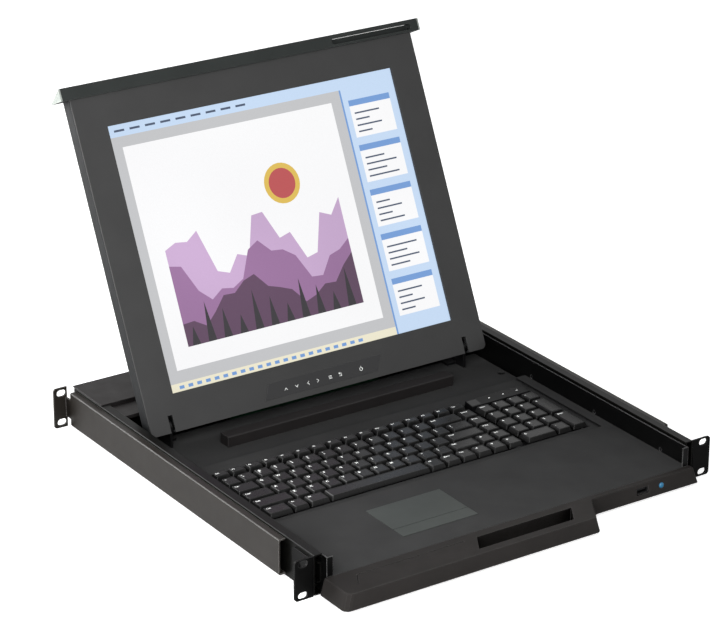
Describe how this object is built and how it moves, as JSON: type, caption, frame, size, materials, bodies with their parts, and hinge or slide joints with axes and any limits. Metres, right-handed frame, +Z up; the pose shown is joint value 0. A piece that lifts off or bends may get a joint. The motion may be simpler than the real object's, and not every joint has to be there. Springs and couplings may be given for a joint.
{
  "type": "rackmount lcd console drawer",
  "caption": "Rack-mounted pull-out console: keyboard and touchpad tray on ball slides with a fold-down LCD display, front pull handle and telescopic rear brackets.",
  "frame": {"origin": "centre of the four rack slots on the front faces of the front ears", "axes": "+X to the user's right, +Y into the rack, +Z up; rest pose has the drawer pushed in and the display open"},
  "size_m": [0.4826, 0.5246, 0.3505],
  "materials": {
    "powder_coat_black": "satin powder coat",
    "bracket_grey": "satin powder coat, slightly lighter",
    "slide_black": "black oxide, lightly oiled",
    "zinc_steel": "zinc plated",
    "deck_plastic": "fine texture",
    "bezel_plastic": "fine texture",
    "display_plastic": "fine texture",
    "display_shell": "painted dark grey",
    "screen": "lit screen",
    "membrane": "printed membrane",
    "end_cap_grey": "pale grey",
    "key_plastic": "satin moulded",
    "pad_plastic": "smooth",
    "blue_lens": "translucent blue",
    "indicator": "smoked",
    "socket_plastic": "moulded socket body",
    "inlet_plastic": "moulded inlet",
    "board_green": "solder mask"
  },
  "bodies": {
    "rack_frame": {"outer_rail_left": "slide_black", "outer_rail_right": "slide_black", "front_ear_left": "bracket_grey", "front_ear_right": "bracket_grey", "ear_screws": "zinc_steel", "rear_housing": "powder_coat_black", "housing_lid": "powder_coat_black", "lid_screws": "zinc_steel", "computer_sockets": "socket_plastic", "power_inlet": "inlet_plastic", "switch_board": "board_green", "power_supply": "powder_coat_black"},
    "drawer": {"tray_pan": "powder_coat_black", "inner_rail_left": "slide_black", "inner_rail_right": "slide_black", "deck_plate": "deck_plastic", "front_bezel": "bezel_plastic", "usb_port": "zinc_steel", "status_led": "blue_lens", "touchpad": "pad_plastic", "keyboard_frame": "key_plastic", "indicator_window": "indicator", "cable_cover": "powder_coat_black", "hinge_bracket_left": "zinc_steel", "hinge_bracket_right": "zinc_steel", "tray_rear_cover": "powder_coat_black", "control_board": "board_green", "tray_screws": "zinc_steel", "hinge_pins": "zinc_steel"},
    "display": {"display_front": "display_plastic", "display_back": "display_shell", "lcd_panel": "screen", "nose_cover": "display_plastic", "nose_end_caps": "end_cap_grey", "menu_overlay": "membrane", "hinge_knuckle_left": "zinc_steel", "hinge_knuckle_right": "zinc_steel", "display_screws": "zinc_steel", "driver_board": "board_green"},
    "touchpad_button": {"touchpad_button_bar": "pad_plastic"},
    "rear_bracket_left": {"rear_bracket_left": "bracket_grey", "clamp_screws_left": "zinc_steel"},
    "middle_rail_left": {"middle_rail_left": "slide_black"},
    "outer_cage_left": {"outer_ball_cage_left": "zinc_steel"},
    "inner_cage_left": {"inner_ball_cage_left": "zinc_steel"},
    "rear_bracket_right": {"rear_bracket_right": "bracket_grey", "clamp_screws_right": "zinc_steel"},
    "middle_rail_right": {"middle_rail_right": "slide_black"},
    "outer_cage_right": {"outer_ball_cage_right": "zinc_steel"},
    "inner_cage_right": {"inner_ball_cage_right": "zinc_steel"},
    "function_keys": {"function_keys": "key_plastic"},
    "number_keys": {"number_keys": "key_plastic"},
    "upper_keys": {"upper_keys": "key_plastic"},
    "home_keys": {"home_keys": "key_plastic"},
    "lower_keys": {"lower_keys": "key_plastic"},
    "bottom_keys": {"bottom_keys": "key_plastic"},
    "space_bar": {"space_bar": "key_plastic"},
    "enter_key": {"enter_key": "key_plastic"},
    "navigation_keys": {"navigation_keys": "key_plastic"},
    "numpad_keys": {"numpad_keys": "key_plastic"}
  },
  "joints": [
    {"name": "drawer_slide", "type": "slide", "parent": "rack_frame", "child": "drawer", "axis": [0, -1, 0], "range_m": [0, 0.38]},
    {"name": "middle_rail_slide_left", "type": "slide", "parent": "rack_frame", "child": "middle_rail_left", "axis": [0, -1, 0], "range_m": [0, 0.19]},
    {"name": "outer_cage_slide_left", "type": "slide", "parent": "rack_frame", "child": "outer_cage_left", "axis": [0, -1, 0], "range_m": [0, 0.095]},
    {"name": "inner_cage_slide_left", "type": "slide", "parent": "rack_frame", "child": "inner_cage_left", "axis": [0, -1, 0], "range_m": [0, 0.285]},
    {"name": "rear_bracket_slide_left", "type": "slide", "parent": "rack_frame", "child": "rear_bracket_left", "axis": [0, 1, 0], "range_m": [0, 0.12]},
    {"name": "middle_rail_slide_right", "type": "slide", "parent": "rack_frame", "child": "middle_rail_right", "axis": [0, -1, 0], "range_m": [0, 0.19]},
    {"name": "outer_cage_slide_right", "type": "slide", "parent": "rack_frame", "child": "outer_cage_right", "axis": [0, -1, 0], "range_m": [0, 0.095]},
    {"name": "inner_cage_slide_right", "type": "slide", "parent": "rack_frame", "child": "inner_cage_right", "axis": [0, -1, 0], "range_m": [0, 0.285]},
    {"name": "rear_bracket_slide_right", "type": "slide", "parent": "rack_frame", "child": "rear_bracket_right", "axis": [0, 1, 0], "range_m": [0, 0.12]},
    {"name": "display_hinge", "type": "hinge", "parent": "drawer", "child": "display", "pos_m": [0, 0.3272, 0.0112], "axis": [1, 0, 0], "range_deg": [0, 115.4]},
    {"name": "function_keys_press", "type": "slide", "parent": "drawer", "child": "function_keys", "axis": [0, 0, -1], "range_m": [0, 0.0025], "stiffness_N_per_m": 400, "springref_m": -0.0015},
    {"name": "number_keys_press", "type": "slide", "parent": "drawer", "child": "number_keys", "axis": [0, 0, -1], "range_m": [0, 0.0025], "stiffness_N_per_m": 400, "springref_m": -0.0015},
    {"name": "upper_keys_press", "type": "slide", "parent": "drawer", "child": "upper_keys", "axis": [0, 0, -1], "range_m": [0, 0.0025], "stiffness_N_per_m": 400, "springref_m": -0.0015},
    {"name": "home_keys_press", "type": "slide", "parent": "drawer", "child": "home_keys", "axis": [0, 0, -1], "range_m": [0, 0.0025], "stiffness_N_per_m": 400, "springref_m": -0.0015},
    {"name": "lower_keys_press", "type": "slide", "parent": "drawer", "child": "lower_keys", "axis": [0, 0, -1], "range_m": [0, 0.0025], "stiffness_N_per_m": 400, "springref_m": -0.0015},
    {"name": "bottom_keys_press", "type": "slide", "parent": "drawer", "child": "bottom_keys", "axis": [0, 0, -1], "range_m": [0, 0.0025], "stiffness_N_per_m": 400, "springref_m": -0.0015},
    {"name": "space_bar_press", "type": "slide", "parent": "drawer", "child": "space_bar", "axis": [0, 0, -1], "range_m": [0, 0.0025], "stiffness_N_per_m": 400, "springref_m": -0.0015},
    {"name": "enter_key_press", "type": "slide", "parent": "drawer", "child": "enter_key", "axis": [0, 0, -1], "range_m": [0, 0.0025], "stiffness_N_per_m": 400, "springref_m": -0.0015},
    {"name": "navigation_keys_press", "type": "slide", "parent": "drawer", "child": "navigation_keys", "axis": [0, 0, -1], "range_m": [0, 0.0025], "stiffness_N_per_m": 400, "springref_m": -0.0015},
    {"name": "numpad_keys_press", "type": "slide", "parent": "drawer", "child": "numpad_keys", "axis": [0, 0, -1], "range_m": [0, 0.0025], "stiffness_N_per_m": 400, "springref_m": -0.0015},
    {"name": "touchpad_button_rock", "type": "hinge", "parent": "drawer", "child": "touchpad_button", "pos_m": [-0.0638, 0.0315, -0.0028], "axis": [0, 1, 0], "range_deg": [-1.2, 1.2], "stiffness_Nm_per_rad": 0.05}
  ],
  "couplings": [
    {"joint": "middle_rail_slide_left", "follows": "drawer_slide", "ratio": 0.5},
    {"joint": "outer_cage_slide_left", "follows": "drawer_slide", "ratio": 0.25},
    {"joint": "inner_cage_slide_left", "follows": "drawer_slide", "ratio": 0.75},
    {"joint": "middle_rail_slide_right", "follows": "drawer_slide", "ratio": 0.5},
    {"joint": "outer_cage_slide_right", "follows": "drawer_slide", "ratio": 0.25},
    {"joint": "inner_cage_slide_right", "follows": "drawer_slide", "ratio": 0.75}
  ]
}
